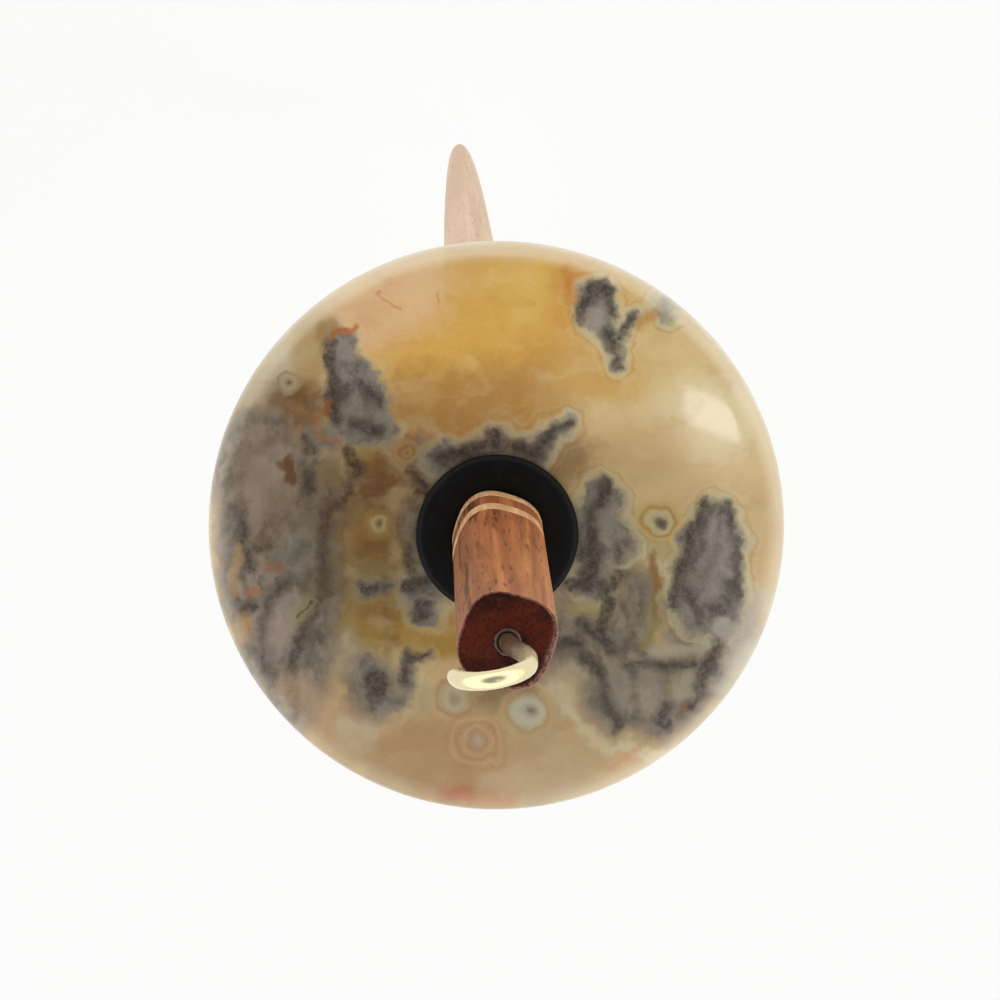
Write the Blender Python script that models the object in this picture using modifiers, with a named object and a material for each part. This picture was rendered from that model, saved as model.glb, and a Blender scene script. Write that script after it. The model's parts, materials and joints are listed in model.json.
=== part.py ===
"""Top-whorl drop spindle: a wooden shaft with a brass yarn hook, and a stone whorl on a rubber grommet.

The frame has +Z along the shaft towards the hook. Its origin is the yarn seat: the point on the
shaft's axis at the inside of the hook's crown. The hook lies in the XZ plane with its free end
towards -X. Heights marked "from the whorl" count along +Z from the stone's middle plane.
Lengths are in metres.
"""

import math

import bmesh
import bpy

MM = 0.001

# Overall layout, as depths below the yarn seat
SEAT_ABOVE_HEAD = 13.5 * MM
HEAD_TO_WHORL = 53.0 * MM
WHORL_TO_TIP = 240.0 * MM
HEAD_END_Z = -SEAT_ABOVE_HEAD
WHORL_Z = HEAD_END_Z - HEAD_TO_WHORL
TIP_Z = WHORL_Z - WHORL_TO_TIP

# Clearances between neighbouring solids
GLUE_GAP = 0.1 * MM
RUBBER_GAP = 0.15 * MM

# Stone ring
STONE_R = 25.0 * MM
STONE_BORE_R = 5.15 * MM
STONE_HALF = 3.0 * MM
DOME_START_R = 8.0 * MM
RIM_START_R = 22.8 * MM
DOME_DROP = 0.9 * MM
RIM_SQUARENESS = 2.5
BORE_ROUND_R = 2.05 * MM
BORE_ROUND_H = 1.8 * MM
STONE_STEPS = 72

# Rubber grommet
FLANGE_R = 7.05 * MM
FLANGE_TOP = 4.3 * MM
FLANGE_EDGE_R = 0.62 * MM
FLANGE_DISH = 0.6 * MM
GROMMET_STEPS = 48

# Wooden shaft
SHAFT_R = 3.7 * MM
SHOULDER = 3.85 * MM
TENON_R = 2.0 * MM
TENON_IN_HEAD = 10.0 * MM
TAPER_LENGTH_POWER = 1.35
TAPER_RADIUS_POWER = 0.38
SHAFT_STEPS = 40

# Laminated top end: heights from the whorl, and the squared-off cross-section they share
REAR_RING_SPAN = (SHOULDER + GLUE_GAP, 6.3 * MM)
ACCENT_BAND_SPAN = (REAR_RING_SPAN[1] + GLUE_GAP, 10.15 * MM)
FRONT_RING_SPAN = (ACCENT_BAND_SPAN[1] + GLUE_GAP, 13.1 * MM)
HEAD_SPAN = (FRONT_RING_SPAN[1] + GLUE_GAP, HEAD_TO_WHORL)
HALF_WIDTH_AT_SHOULDER = 3.76 * MM
HALF_WIDTH_AT_END = 3.94 * MM
SQUARENESS_AT_SHOULDER = 2.6
SQUARENESS_AT_END = 2.8
SQUARE_TURN = math.radians(-27.0)
OUTLINE_POINTS = 40
EDGE_ROLL = 0.25 * MM
WORN_ROLL = 0.75 * MM
WORN_SIDE = math.radians(-39.0)
ROLL_STEPS = 4

# Brass hook, heights from the head's end face
WIRE_R = 0.78 * MM
SHANK_IN_HEAD = 12.0 * MM
SHANK_SWAY = 1.5 * MM
SWAY_HEIGHT = 9.0 * MM
CROOK_HALF_WIDTH = 2.95 * MM
CROOK_RISE = 4.2 * MM
CROOK_SWEEP = math.radians(176.0)
HOOK_BORE_R = WIRE_R + GLUE_GAP

# Glue collar where the wire enters the wood
GLUE_INNER_R = 0.88 * MM
GLUE_OUTER_R = 1.25 * MM
GLUE_HEIGHT = 0.45 * MM

SMOOTH_ANGLE = math.radians(40.0)
MERGE = 0.00001


def clear_scene():
    for old in list(bpy.data.objects):
        bpy.data.objects.remove(old, do_unlink=True)


def new_collection(name):
    collection = bpy.data.collections.new(name)
    bpy.context.scene.collection.children.link(collection)
    return collection


def principled(name, colour, roughness, metallic=0.0):
    material = bpy.data.materials.new(name)
    material.use_nodes = True
    shader = material.node_tree.nodes["Principled BSDF"]
    shader.inputs["Base Color"].default_value = (*colour, 1.0)
    shader.inputs["Roughness"].default_value = roughness
    shader.inputs["Metallic"].default_value = metallic
    return material


def new_piece(name, data, collection, parent, material=None):
    piece = bpy.data.objects.new(name, data)
    collection.objects.link(piece)
    piece.parent = parent
    if material:
        data.materials.append(material)
    return piece


def axis_empty(name, z, collection):
    empty = bpy.data.objects.new(name, None)
    empty.location = (0.0, 0.0, z)
    collection.objects.link(empty)
    return empty


def arc(centre, radii, start, end, steps):
    """Points on an ellipse's arc in the profile plane, both ends included."""
    points = []
    for i in range(steps + 1):
        angle = start + (end - start) * i / steps
        r = centre[0] + radii[0] * math.cos(angle)
        z = centre[1] + radii[1] * math.sin(angle)
        points.append((r, z))
    return points


def turned(name, profile, steps, closed, collection, parent, material):
    """A turned piece: a profile of (radius, height) points swept once round Z by a Screw modifier.

    The profile runs down the piece's outer side, and a closed one comes back up its bore.
    """
    mesh = bpy.data.meshes.new(name)
    edges = [(i, i + 1) for i in range(len(profile) - 1)]
    if closed:
        edges.append((len(profile) - 1, 0))
    mesh.from_pydata([(r, 0.0, z) for r, z in profile], edges, [])
    piece = new_piece(name, mesh, collection, parent, material)
    screw = piece.modifiers.new("Turn", "SCREW")
    screw.axis = "Z"
    screw.steps = steps
    screw.render_steps = steps
    screw.use_smooth_shade = True
    screw.use_merge_vertices = True
    screw.merge_threshold = MERGE
    return piece


def cylinder_cutter(name, radius, z_low, z_high, sides, cutters, parent):
    mesh = bpy.data.meshes.new(name)
    bm = bmesh.new()
    bmesh.ops.create_cone(
        bm,
        cap_ends=True,
        segments=sides,
        radius1=radius,
        radius2=radius,
        depth=z_high - z_low,
    )
    bmesh.ops.translate(bm, verts=bm.verts, vec=(0.0, 0.0, (z_low + z_high) / 2))
    bm.to_mesh(mesh)
    bm.free()
    cutter = new_piece(name, mesh, cutters, parent)
    cutter.hide_render = True
    cutter.display_type = "WIRE"
    return cutter


def bore(piece, cutter):
    cut = piece.modifiers.new(cutter.name, "BOOLEAN")
    cut.operation = "DIFFERENCE"
    cut.object = cutter


def squared_radius(height, angle):
    """Distance from the axis to the laminated end's side: a superellipse, squarer towards its end."""
    along = (height - SHOULDER) / (HEAD_TO_WHORL - SHOULDER)
    half_width = HALF_WIDTH_AT_SHOULDER + (HALF_WIDTH_AT_END - HALF_WIDTH_AT_SHOULDER) * along
    power = SQUARENESS_AT_SHOULDER + (SQUARENESS_AT_END - SQUARENESS_AT_SHOULDER) * along
    c = abs(math.cos(angle - SQUARE_TURN))
    s = abs(math.sin(angle - SQUARE_TURN))
    return half_width * (c**power + s**power) ** (-1.0 / power)


def outline(height, inset=None, drop=None):
    """One cross-section as points; inset and drop are functions of the angle about the axis."""
    points = []
    for i in range(OUTLINE_POINTS):
        angle = math.tau * i / OUTLINE_POINTS
        radius = squared_radius(height, angle) - (inset(angle) if inset else 0.0)
        z = height - (drop(angle) if drop else 0.0)
        points.append((radius * math.cos(angle), radius * math.sin(angle), z))
    return points


def edge_roll(angle):
    """Radius of the end face's rounded edge, larger on the side that has been rubbed down most."""
    return EDGE_ROLL + WORN_ROLL * max(0.0, math.cos(angle - WORN_SIDE)) ** 2


def rolled_sections(height):
    """Cross-sections round the edge of the head's end face, up to the face itself."""
    sections = []
    for step in range(ROLL_STEPS + 1):
        turn = math.pi / 2 * step / ROLL_STEPS

        def inset(angle, turn=turn):
            return edge_roll(angle) * (1.0 - math.cos(turn))

        def drop(angle, turn=turn):
            return edge_roll(angle) * (1.0 - math.sin(turn))

        sections.append(outline(height, inset, drop))
    return sections


def lofted(name, sections, collection, parent, material):
    """A closed skin over cross-sections that all have the same number of points, lowest first."""
    mesh = bpy.data.meshes.new(name)
    bm = bmesh.new()
    rings = [[bm.verts.new(point) for point in section] for section in sections]
    count = len(rings[0])
    for low, high in zip(rings, rings[1:]):
        for i in range(count):
            after = (i + 1) % count
            bm.faces.new((low[i], low[after], high[after], high[i]))
    bm.faces.new(reversed(rings[0]))
    bm.faces.new(rings[-1])
    bm.to_mesh(mesh)
    bm.free()
    mesh.shade_smooth()
    mesh.set_sharp_from_angle(angle=SMOOTH_ANGLE)
    return new_piece(name, mesh, collection, parent, material)


def make_shaft(collection, parent):
    """Shaft turned with a tenon at its top, and a long taper that ends in a blunt point."""
    tenon_top = HEAD_SPAN[0] + TENON_IN_HEAD
    profile = [(0.0, tenon_top), (TENON_R, tenon_top), (TENON_R, SHOULDER), (SHAFT_R, SHOULDER)]
    taper_points = 15
    for i in range(taper_points + 1):
        share = math.sin(math.pi / 2 * i / taper_points)
        radius = SHAFT_R * max(0.0, 1.0 - share**TAPER_LENGTH_POWER) ** TAPER_RADIUS_POWER
        profile.append((radius, -WHORL_TO_TIP * share))
    wood = principled("shaft_wood", (0.62, 0.45, 0.29), 0.5)
    turned("shaft", profile, SHAFT_STEPS, False, collection, parent, wood)


def make_laminated_end(collection, cutters, parent):
    """The glued stack on the tenon: a pale ring, a red band, another pale ring, and the long head."""
    pale = (0.66, 0.42, 0.20)
    red = (0.40, 0.15, 0.06)
    rings = {
        "rear_inlay_ring": (REAR_RING_SPAN, pale),
        "accent_band": (ACCENT_BAND_SPAN, red),
        "front_inlay_ring": (FRONT_RING_SPAN, pale),
    }
    tenon_bore = cylinder_cutter(
        "tenon_bore",
        TENON_R + GLUE_GAP,
        SHOULDER - 1.0 * MM,
        HEAD_SPAN[0] + TENON_IN_HEAD + GLUE_GAP,
        24,
        cutters,
        parent,
    )
    for name, ((low, high), colour) in rings.items():
        material = principled(name + "_wood", colour, 0.45)
        ring = lofted(name, [outline(low), outline(high)], collection, parent, material)
        bore(ring, tenon_bore)

    low, high = HEAD_SPAN
    sides = [outline(low + (high - 2.0 * MM - low) * i / 3) for i in range(4)]
    head_wood = principled("head_wood", red, 0.4)
    head = lofted("head", sides + rolled_sections(high), collection, parent, head_wood)
    bore(head, tenon_bore)
    hook_bore = cylinder_cutter(
        "hook_bore", HOOK_BORE_R, high - SHANK_IN_HEAD - GLUE_GAP, high + 1.0 * MM, 16, cutters, parent
    )
    bore(head, hook_bore)


def hook_centreline():
    """Centreline of the hook from the shank's buried end to its free end, from the head's end face."""
    points = [(0.0, 0.0, -SHANK_IN_HEAD), (0.0, 0.0, -1.0 * MM)]
    sway_steps = 7
    for i in range(sway_steps + 1):
        share = i / sway_steps
        sway = SHANK_SWAY * share * share * (3.0 - 2.0 * share)
        points.append((sway, 0.0, SWAY_HEIGHT * share))
    crook_x = SHANK_SWAY - CROOK_HALF_WIDTH
    seat_share = crook_x / (CROOK_HALF_WIDTH - WIRE_R)
    crook_z = SEAT_ABOVE_HEAD - (CROOK_RISE - WIRE_R) * math.sqrt(1.0 - seat_share**2)
    crook_steps = 16
    for i in range(crook_steps + 1):
        angle = CROOK_SWEEP * i / crook_steps
        x = crook_x + CROOK_HALF_WIDTH * math.cos(angle)
        points.append((x, 0.0, crook_z + CROOK_RISE * math.sin(angle)))
    return points


def make_hook(collection, parent):
    """Bent brass wire with a rounded free end."""
    path = hook_centreline()
    last, before = path[-1], path[-2]
    step = math.dist(last, before)
    heading = [(a - b) / step for a, b in zip(last, before)]
    widths = [1.0] * len(path)
    for reach in (0.5, 0.8, 0.95):
        path.append(tuple(a + h * WIRE_R * reach for a, h in zip(last, heading)))
        widths.append(math.sqrt(1.0 - reach**2))
    curve = bpy.data.curves.new("yarn_hook", "CURVE")
    curve.dimensions = "3D"
    curve.bevel_depth = WIRE_R
    curve.bevel_resolution = 3
    curve.use_fill_caps = True
    spline = curve.splines.new("POLY")
    spline.points.add(len(path) - 1)
    for point, place, width in zip(spline.points, path, widths):
        point.co = (*place, 1.0)
        point.radius = width
    hook = new_piece("yarn_hook", curve, collection, parent, principled("brass", (0.80, 0.62, 0.28), 0.2, 1.0))
    hook.location = (0.0, 0.0, HEAD_TO_WHORL)


def make_glue(collection, parent):
    """Collar of dried glue standing on the end face round the wire."""
    low = HEAD_TO_WHORL + GLUE_GAP
    width = (GLUE_OUTER_R - GLUE_INNER_R) / 2
    profile = [(GLUE_INNER_R, low + GLUE_HEIGHT)]
    profile += arc((GLUE_OUTER_R - width, low), (width, GLUE_HEIGHT), math.radians(80), 0.0, 4)
    profile.append((GLUE_INNER_R, low))
    material = principled("clear_glue", (0.55, 0.50, 0.42), 0.15)
    turned("hook_glue", profile, 20, True, collection, parent, material)


def stone_profile():
    """The ring's section: domed front, flat back, rounded rim and a bore with rounded mouths."""
    dome_steps = 5
    profile = [(STONE_BORE_R + BORE_ROUND_R, STONE_HALF)]
    for i in range(dome_steps):
        share = i / dome_steps
        r = DOME_START_R + (RIM_START_R - DOME_START_R) * share
        profile.append((r, STONE_HALF - DOME_DROP * share**2))
    rim_top = STONE_HALF - DOME_DROP
    rim_middle = (rim_top - STONE_HALF) / 2
    rim_half = (rim_top + STONE_HALF) / 2
    rim_width = STONE_R - RIM_START_R
    rim_steps = 10
    for i in range(rim_steps + 1):
        angle = math.pi / 2 - math.pi * i / rim_steps
        c, s = math.cos(angle), math.sin(angle)
        across = abs(c) ** (2 / RIM_SQUARENESS)
        along = math.copysign(abs(s) ** (2 / RIM_SQUARENESS), s)
        profile.append((RIM_START_R + rim_width * across, rim_middle + rim_half * along))
    mouth_r = STONE_BORE_R + BORE_ROUND_R
    mouth_z = STONE_HALF - BORE_ROUND_H
    radii = (BORE_ROUND_R, BORE_ROUND_H)
    profile += arc((mouth_r, -mouth_z), radii, -math.pi / 2, -math.pi, 4)
    profile += arc((mouth_r, mouth_z), radii, math.pi, math.pi / 2, 4)[:-1]
    return profile


def make_stone(collection, parent):
    material = principled("agate", (0.55, 0.42, 0.26), 0.15)
    turned("whorl_stone", stone_profile(), STONE_STEPS, True, collection, parent, material)


def grommet_profile():
    """Section of the grommet, which follows the stone's rounded bore one gap inside it."""
    edge_centre = (FLANGE_R - FLANGE_EDGE_R, FLANGE_TOP - FLANGE_EDGE_R)
    edge_radii = (FLANGE_EDGE_R, FLANGE_EDGE_R)
    bore_r = SHAFT_R + RUBBER_GAP
    dish_width = edge_centre[0] - bore_r
    upper = []
    for share in (0.0, 0.25, 0.55):
        upper.append((bore_r + dish_width * share, FLANGE_TOP - FLANGE_DISH * (1.0 - share) ** 2))
    upper += arc(edge_centre, edge_radii, math.pi / 2, math.radians(-60), 6)
    mouth = (STONE_BORE_R + BORE_ROUND_R, STONE_HALF - BORE_ROUND_H)
    groove_radii = (BORE_ROUND_R + RUBBER_GAP, BORE_ROUND_H + RUBBER_GAP)
    upper += arc(mouth, groove_radii, math.radians(105), math.pi, 3)
    lower = [(r, -z) for r, z in reversed(upper)]
    return upper + lower


def make_grommet(collection, parent):
    material = principled("black_rubber", (0.012, 0.013, 0.016), 0.6)
    turned("rubber_grommet", grommet_profile(), GROMMET_STEPS, True, collection, parent, material)


def main():
    clear_scene()
    parts = new_collection("drop_spindle")
    cutters = new_collection("drop_spindle_cutters")
    spindle = axis_empty("spindle_axis", WHORL_Z, parts)
    whorl = axis_empty("whorl_axis", WHORL_Z, parts)
    make_shaft(parts, spindle)
    make_laminated_end(parts, cutters, spindle)
    make_hook(parts, spindle)
    make_glue(parts, spindle)
    make_grommet(parts, whorl)
    make_stone(parts, whorl)


main()
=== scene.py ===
"""Looks of the top-whorl drop spindle: lace-agate whorl, rubber grommet, inlaid wooden shaft and brass hook.

Everything is in metres in the frame's own axes, with +Z along the shaft towards the hook. The stone's
pattern is laid out in millimetres on its front face, from the whorl's centre, in the axes that the
viewer sees: X to the right and Y up when the stone is looked at from the hook's side.
"""

import json
import math
import random

import bpy
from mathutils import Matrix, Vector, noise


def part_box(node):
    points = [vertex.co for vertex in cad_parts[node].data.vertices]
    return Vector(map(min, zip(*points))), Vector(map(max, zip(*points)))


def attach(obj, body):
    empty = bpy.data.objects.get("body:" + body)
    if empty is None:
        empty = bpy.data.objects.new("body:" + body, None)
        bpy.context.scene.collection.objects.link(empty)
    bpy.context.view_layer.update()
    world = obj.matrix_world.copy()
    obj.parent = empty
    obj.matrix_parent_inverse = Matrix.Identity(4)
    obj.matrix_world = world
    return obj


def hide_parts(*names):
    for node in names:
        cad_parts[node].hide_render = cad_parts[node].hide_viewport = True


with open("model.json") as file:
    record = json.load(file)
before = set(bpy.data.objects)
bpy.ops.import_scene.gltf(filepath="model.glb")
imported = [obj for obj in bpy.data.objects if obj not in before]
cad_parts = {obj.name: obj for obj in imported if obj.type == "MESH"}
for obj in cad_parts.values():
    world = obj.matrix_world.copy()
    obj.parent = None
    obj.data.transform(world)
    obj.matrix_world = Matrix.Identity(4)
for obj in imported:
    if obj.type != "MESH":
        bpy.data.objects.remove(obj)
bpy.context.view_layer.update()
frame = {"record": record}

MM = 0.001

# Places and sizes read from the frame
STONE_LOW, STONE_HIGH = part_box("whorl_stone")
GROMMET_LOW, GROMMET_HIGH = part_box("rubber_grommet")
SHAFT_LOW, SHAFT_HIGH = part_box("shaft")
_, HEAD_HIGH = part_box("head")
WHORL_Z = (STONE_LOW.z + STONE_HIGH.z) / 2
HEAD_TO_WHORL = HEAD_HIGH.z - WHORL_Z
WHORL_TO_TIP = WHORL_Z - SHAFT_LOW.z
STONE_R = (STONE_HIGH.x - STONE_LOW.x) / 2
STONE_HALF = (STONE_HIGH.z - STONE_LOW.z) / 2
FLANGE_R = (GROMMET_HIGH.x - GROMMET_LOW.x) / 2
FLANGE_TOP = (GROMMET_HIGH.z - GROMMET_LOW.z) / 2
SHAFT_R = (SHAFT_HIGH.x - SHAFT_LOW.x) / 2
SLIDE_TRAVEL = next(
    joint["range_m"][1] for joint in frame["record"]["behaviour"]["joints"] if joint["name"] == "whorl_slide"
)

# Sizes that the boxes don't give, as in the CAD
STONE_BORE_R = 5.15 * MM
DOME_START_R = 8.0 * MM
RIM_START_R = 22.8 * MM
DOME_DROP = 0.9 * MM
RIM_SQUARENESS = 2.5
BORE_ROUND_R = 2.05 * MM
BORE_ROUND_H = 1.8 * MM
FLANGE_EDGE_R = 0.62 * MM
FLANGE_DISH = 0.6 * MM
RUBBER_GAP = 0.15 * MM
SHOULDER = 3.85 * MM
TENON_R = 2.0 * MM
TENON_IN_HEAD = 10.0 * MM
TAPER_LENGTH_POWER = 1.35
TAPER_RADIUS_POWER = 0.38
REAR_RING_TOP = 6.3 * MM
ACCENT_BAND_TOP = 10.15 * MM
FRONT_RING_TOP = 13.1 * MM
HALF_WIDTH_AT_SHOULDER = 3.76 * MM
HALF_WIDTH_AT_END = 3.94 * MM
SQUARENESS_AT_SHOULDER = 2.6
SQUARENESS_AT_END = 2.8
SQUARE_TURN = math.radians(-27.0)
EDGE_ROLL = 0.25 * MM
WORN_ROLL = 0.75 * MM
WORN_SIDE = math.radians(-39.0)
WIRE_R = 0.78 * MM
SHANK_IN_HEAD = 12.0 * MM
SHANK_SWAY = 1.5 * MM
SWAY_HEIGHT = 9.0 * MM
CROOK_HALF_WIDTH = 2.95 * MM
CROOK_RISE = 4.2 * MM
CROOK_SWEEP = math.radians(176.0)

# How far a skin stays inside the CAD: off round faces, and as a share of a thickness off flat ones
SKIN = 0.01 * MM
FLAT_SKIN = 0.998
GLUE_LINE = 0.02 * MM

# Points round each piece
STONE_POINTS = 180
GROMMET_POINTS = 144
SIDE_POINTS = 216
ROUND_POINTS = 72
WIRE_POINTS = 40

# Camera: distance to the whorl's centre, the angle between the shaft and the view, which way the shaft
# leans in the picture, and how far the frame's X axis is turned up from the picture's right
VIEW_DISTANCE = 850.0 * MM
VIEW_TILT = math.radians(10.0)
VIEW_SWING = math.radians(-84.2)
VIEW_ROLL = math.radians(9.3)
WHORL_IN_VIEW = Vector((-0.30 * MM, -2.36 * MM, -VIEW_DISTANCE))
LENS_MM = 352.5
SENSOR_MM = 36.0


# Floor and light. The tent's opening is dim from its inner angle inwards and full from its outer angle.
FLOOR_REACH = 2.5
FLOOR_GAP = 1.0 * MM
FLOOR_COLOUR = (0.885, 0.885, 0.88, 1.0)
TENT_LIGHT = 1.62
OPENING_LIGHT = 0.22
OPENING_OUTER = math.radians(48.0)
OPENING_INNER = math.radians(26.0)
WINDOW_SIZE = (0.032, 0.058)
WINDOW_FROM_WHORL = Vector((0.172, -0.062, 0.690))
WINDOW_WATTS = 0.080

# In the agate's millimetres: a distance beyond every spot, and a scale that makes depth not count
FAR = 100.0
ANY_DEPTH = 1000.0


# Camera, floor and light

def view_axes():
    """Rotation from the frame's axes to the camera's."""
    axis = Vector(
        (
            math.sin(VIEW_TILT) * math.cos(VIEW_SWING),
            math.sin(VIEW_TILT) * math.sin(VIEW_SWING),
            math.cos(VIEW_TILT),
        )
    )
    right = (Vector((1.0, 0.0, 0.0)) - axis * axis.x).normalized()
    up = axis.cross(right)
    frame_x = right * math.cos(VIEW_ROLL) + up * math.sin(VIEW_ROLL)
    return Matrix((frame_x, axis.cross(frame_x), axis)).transposed()


VIEW_BACK = view_axes().transposed() @ Vector((0.0, 0.0, 1.0))


def make_camera():
    data = bpy.data.cameras.new("camera")
    data.lens = LENS_MM
    data.sensor_width = SENSOR_MM
    data.clip_start = 0.01
    data.clip_end = 10.0
    camera = bpy.data.objects.new("camera", data)
    bpy.context.scene.collection.objects.link(camera)
    turn = view_axes().transposed()
    place = Vector((0.0, 0.0, WHORL_Z)) - turn @ WHORL_IN_VIEW
    camera.matrix_world = Matrix.Translation(place) @ turn.to_4x4()
    bpy.context.scene.camera = camera


def make_stage():
    mesh = bpy.data.meshes.new("floor")
    reach = FLOOR_REACH
    corners = [(-reach, -reach, 0.0), (reach, -reach, 0.0), (reach, reach, 0.0), (-reach, reach, 0.0)]
    mesh.from_pydata(corners, [], [(0, 1, 2, 3)])
    floor = bpy.data.objects.new("floor", mesh)
    # Low enough for the whorl to stay in sight when it's pushed off the tip
    floor.location.z = GROMMET_LOW.z - SLIDE_TRAVEL - FLOOR_GAP
    bpy.context.scene.collection.objects.link(floor)
    paint = Graph("floor_paint")
    paint.set(Base_Color=FLOOR_COLOUR, Roughness=0.9, Specular_IOR_Level=0.0)
    mesh.materials.append(paint.material)


def aim(obj, target):
    obj.rotation_euler = (Vector(target) - obj.location).to_track_quat("-Z", "Y").to_euler()


def make_lights():
    """A white tent with a dim opening where the viewer stands, and one small window lamp."""
    world = bpy.data.worlds.new("tent")
    world.use_nodes = True
    tree = world.node_tree
    background = tree.nodes["Background"]
    direction = tree.nodes.new("ShaderNodeTexCoord")
    facing = tree.nodes.new("ShaderNodeVectorMath")
    facing.operation = "DOT_PRODUCT"
    facing.inputs[1].default_value = VIEW_BACK
    tree.links.new(direction.outputs["Generated"], facing.inputs[0])
    opening = tree.nodes.new("ShaderNodeMapRange")
    opening.interpolation_type = "SMOOTHSTEP"
    opening.inputs["From Min"].default_value = math.cos(OPENING_OUTER)
    opening.inputs["From Max"].default_value = math.cos(OPENING_INNER)
    opening.inputs["To Min"].default_value = TENT_LIGHT
    opening.inputs["To Max"].default_value = OPENING_LIGHT
    tree.links.new(facing.outputs["Value"], opening.inputs["Value"])
    tree.links.new(opening.outputs["Result"], background.inputs["Strength"])
    background.inputs["Color"].default_value = (1.0, 1.0, 1.0, 1.0)
    bpy.context.scene.world = world

    whorl = Vector((0.0, 0.0, WHORL_Z))
    window = bpy.data.lights.new("window", "AREA")
    window.shape = "RECTANGLE"
    window.size, window.size_y = WINDOW_SIZE
    window.energy = WINDOW_WATTS
    lamp = bpy.data.objects.new("window", window)
    lamp.location = whorl + WINDOW_FROM_WHORL
    bpy.context.scene.collection.objects.link(lamp)
    aim(lamp, whorl)
    bpy.context.scene.view_settings.view_transform = "Standard"


# Node building

def srgb(red, green, blue):
    """A screen colour, 0 to 255, as the linear values that shaders take."""
    linear = []
    for value in (red, green, blue):
        share = value / 255.0
        linear.append(share / 12.92 if share <= 0.04045 else ((share + 0.055) / 1.055) ** 2.4)
    return (*linear, 1.0)


class Graph:
    """A material's nodes. Arguments are sockets or plain values, and results are sockets.

    A colour of three numbers is a screen colour, and one of four numbers is linear.
    """

    def __init__(self, name):
        self.material = bpy.data.materials.new(name)
        self.material.use_nodes = True
        self.nodes = self.material.node_tree.nodes
        self.links = self.material.node_tree.links
        self.shader = self.nodes["Principled BSDF"]

    def put(self, socket, value):
        if isinstance(value, bpy.types.NodeSocket):
            self.links.new(value, socket)
        else:
            is_screen_colour = socket.type == "RGBA" and len(value) == 3
            socket.default_value = srgb(*value) if is_screen_colour else value

    def fill(self, node, values):
        """Set a node's inputs by name, with underscores for spaces."""
        for name, value in values.items():
            self.put(node.inputs[name.replace("_", " ")], value)
        return node

    def set(self, **values):
        self.fill(self.shader, values)

    def add(self, kind, **values):
        return self.fill(self.nodes.new("ShaderNode" + kind), values)

    def object_space(self):
        return self.add("TexCoord").outputs["Object"]

    def object_normal(self):
        return self.add("TexCoord").outputs["Normal"]

    def math(self, operation, *values):
        node = self.add("Math")
        node.operation = operation
        for socket, value in zip(node.inputs, values):
            self.put(socket, value)
        return node.outputs[0]

    def vector(self, operation, *values):
        node = self.add("VectorMath")
        node.operation = operation
        for socket, value in zip(node.inputs, values):
            self.put(socket, value)
        return node.outputs["Value" if operation in ("LENGTH", "DISTANCE") else "Vector"]

    def mapping(self, vector, location=(0, 0, 0), turn=(0, 0, 0), scale=(1, 1, 1), kind="POINT"):
        node = self.add("Mapping", Vector=vector, Location=location, Rotation=turn, Scale=scale)
        node.vector_type = kind
        return node.outputs[0]

    def split(self, vector):
        return self.add("SeparateXYZ", Vector=vector).outputs

    def noise(self, vector, scale, detail=3.0, roughness=0.5, distortion=0.0, output="Fac"):
        node = self.add("TexNoise", Vector=vector, Scale=scale, Detail=detail, Roughness=roughness)
        node.inputs["Distortion"].default_value = distortion
        return node.outputs[output]

    def cells(self, vector, scale, feature="F1", smoothness=None):
        node = self.add("TexVoronoi", Vector=vector, Scale=scale)
        node.feature = feature
        if smoothness is not None:
            node.inputs["Smoothness"].default_value = smoothness
        return node.outputs["Distance"]

    def step(self, value, start, end, low=0.0, high=1.0):
        """Smooth step from low at start to high at end."""
        node = self.add("MapRange", Value=value, From_Min=start, From_Max=end, To_Min=low, To_Max=high)
        node.interpolation_type = "SMOOTHSTEP"
        return node.outputs[0]

    def mix(self, share, first, second, blend="MIX"):
        node = self.add("Mix", Factor=share)
        node.data_type = "RGBA"
        node.blend_type = blend
        self.put(node.inputs[6], first)
        self.put(node.inputs[7], second)
        return node.outputs[2]

    def over(self, under, value, start, end, strength, colour):
        """A colour laid over another, more and more as a value goes from start to end."""
        return self.mix(self.step(value, start, end, 0.0, strength), under, colour)

    def ramp(self, value, stops):
        node = self.add("ValToRGB", Fac=value)
        elements = node.color_ramp.elements
        for place, colour in stops[2:]:
            elements.new(place)
        for element, (place, colour) in zip(elements, sorted(stops)):
            element.position = place
            element.color = colour
        return node.outputs["Color"]

    def bump(self, height, distance, strength):
        node = self.add("Bump", Strength=strength, Distance=distance, Height=height)
        self.links.new(node.outputs[0], self.shader.inputs["Normal"])

    def after(self, vector, value):
        """The same vector, tied to a value so that it's only worked out once the value is known.

        Long chains need this: the renderer holds too many unfinished values at once without it.
        """
        return self.vector("MULTIPLY_ADD", value, (1e-9, 1e-9, 1e-9), vector)

    def use(self, group, *values):
        node = self.add("Group")
        node.node_tree = group.tree
        for socket, value in zip(node.inputs, values):
            self.put(socket, value)
        return node.outputs[0]


class Group(Graph):
    """Nodes that are used many times over, with their own inputs and one output."""

    def __init__(self, name, inputs, output):
        self.tree = bpy.data.node_groups.new(name, "ShaderNodeTree")
        for label, kind in inputs:
            self.tree.interface.new_socket(label, in_out="INPUT", socket_type="NodeSocket" + kind)
        self.tree.interface.new_socket("Result", in_out="OUTPUT", socket_type="NodeSocket" + output)
        self.nodes = self.tree.nodes
        self.links = self.tree.links
        self.inputs = self.nodes.new("NodeGroupInput").outputs
        self.output = self.nodes.new("NodeGroupOutput").inputs[0]


SPOT_INPUTS = tuple((label, "Vector") for label in ("Middle", "Turn", "Low", "High")) + (("Width", "Float"),)


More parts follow.
